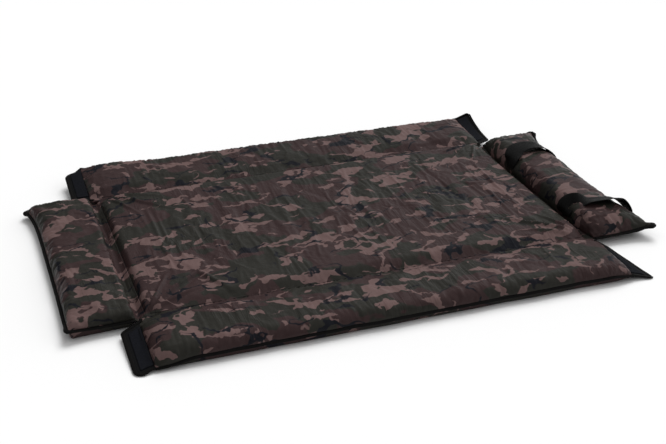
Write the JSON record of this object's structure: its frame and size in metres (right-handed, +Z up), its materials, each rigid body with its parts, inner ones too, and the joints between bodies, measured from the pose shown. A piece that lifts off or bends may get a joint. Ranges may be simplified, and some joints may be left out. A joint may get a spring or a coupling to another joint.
{
  "type": "folding padded unhooking mat",
  "caption": "Foam-padded camouflage mat laid flat, with fold-up long walls, fold-up end pads, hook-and-loop corner tabs and webbing straps over one end pad.",
  "frame": {"origin": "centre of the base's underside, on the ground", "axes": "+X along the mat to the end pad with the straps, +Y to the far wall, +Z up"},
  "size_m": [1.4387, 0.9554, 0.0685],
  "materials": {
    "camo_fabric": "satin coated polyester weave",
    "foam": "open-cell foam",
    "binding_tape": "ribbed tape",
    "webbing": "woven webbing",
    "tab_fabric": "woven backing",
    "hook_tape": "hook pile",
    "loop_tape": "loop pile",
    "thread": "sewing thread"
  },
  "bodies": {
    "base": {"base_bottom_cover": "camo_fabric", "base_foam": "foam", "base_top_cover": "camo_fabric", "near_fold_stitching": "thread", "far_fold_stitching": "thread", "left_fold_stitching": "thread", "right_fold_stitching": "thread"},
    "near_wall": {"near_wall_binding": "binding_tape", "near_wall_bottom_cover": "camo_fabric", "near_wall_foam": "foam", "near_wall_top_cover": "camo_fabric", "near_left_tab_stitching": "thread", "near_right_tab_stitching": "thread"},
    "far_wall": {"far_wall_binding": "binding_tape", "far_wall_bottom_cover": "camo_fabric", "far_wall_foam": "foam", "far_wall_top_cover": "camo_fabric", "far_left_tab_stitching": "thread", "far_right_tab_stitching": "thread"},
    "left_end_pad": {"left_pad_binding": "binding_tape", "left_pad_bottom_cover": "camo_fabric", "left_pad_foam": "foam", "left_pad_loop_patches": "loop_tape", "left_pad_top_cover": "camo_fabric"},
    "right_end_pad": {"right_pad_binding": "binding_tape", "right_pad_bottom_cover": "camo_fabric", "right_pad_foam": "foam", "right_pad_loop_patches": "loop_tape", "right_pad_top_cover": "camo_fabric"},
    "near_strap": {"near_carry_strap": "webbing"},
    "far_strap": {"far_carry_strap": "webbing"},
    "near_left_tab": {"near_left_tab_edging": "binding_tape", "near_left_tab_fabric": "tab_fabric", "near_left_tab_hook_strip": "hook_tape"},
    "near_right_tab": {"near_right_tab_edging": "binding_tape", "near_right_tab_fabric": "tab_fabric", "near_right_tab_hook_strip": "hook_tape"},
    "far_left_tab": {"far_left_tab_edging": "binding_tape", "far_left_tab_fabric": "tab_fabric", "far_left_tab_hook_strip": "hook_tape"},
    "far_right_tab": {"far_right_tab_edging": "binding_tape", "far_right_tab_fabric": "tab_fabric", "far_right_tab_hook_strip": "hook_tape"}
  },
  "joints": [
    {"name": "near_wall_fold", "type": "hinge", "parent": "base", "child": "near_wall", "pos_m": [0, -0.305, 0.03], "axis": [-1, 0, 0], "range_deg": [0, 85]},
    {"name": "far_wall_fold", "type": "hinge", "parent": "base", "child": "far_wall", "pos_m": [0, 0.305, 0.03], "axis": [1, 0, 0], "range_deg": [0, 85]},
    {"name": "left_end_fold", "type": "hinge", "parent": "base", "child": "left_end_pad", "pos_m": [-0.537, 0, 0.022], "axis": [0, 1, 0], "range_deg": [0, 90]},
    {"name": "right_end_fold", "type": "hinge", "parent": "base", "child": "right_end_pad", "pos_m": [0.537, 0, 0.022], "axis": [0, -1, 0], "range_deg": [0, 90]},
    {"name": "near_left_tab_fold", "type": "hinge", "parent": "near_wall", "child": "near_left_tab", "pos_m": [-0.5625, -0.4045, 0.02], "axis": [0, 1, 0], "range_deg": [0, 90]},
    {"name": "near_right_tab_fold", "type": "hinge", "parent": "near_wall", "child": "near_right_tab", "pos_m": [0.5625, -0.4045, 0.02], "axis": [0, -1, 0], "range_deg": [0, 90]},
    {"name": "far_left_tab_fold", "type": "hinge", "parent": "far_wall", "child": "far_left_tab", "pos_m": [-0.5625, 0.4045, 0.02], "axis": [0, 1, 0], "range_deg": [0, 90]},
    {"name": "far_right_tab_fold", "type": "hinge", "parent": "far_wall", "child": "far_right_tab", "pos_m": [0.5625, 0.4045, 0.02], "axis": [0, -1, 0], "range_deg": [0, 90]},
    {"name": "near_strap_swing", "type": "hinge", "parent": "right_end_pad", "child": "near_strap", "pos_m": [0.6406, -0.185, 0.022], "axis": [1, 0, 0], "range_deg": [-15, 15]},
    {"name": "far_strap_swing", "type": "hinge", "parent": "right_end_pad", "child": "far_strap", "pos_m": [0.6406, 0.12, 0.022], "axis": [1, 0, 0], "range_deg": [-15, 15]}
  ]
}
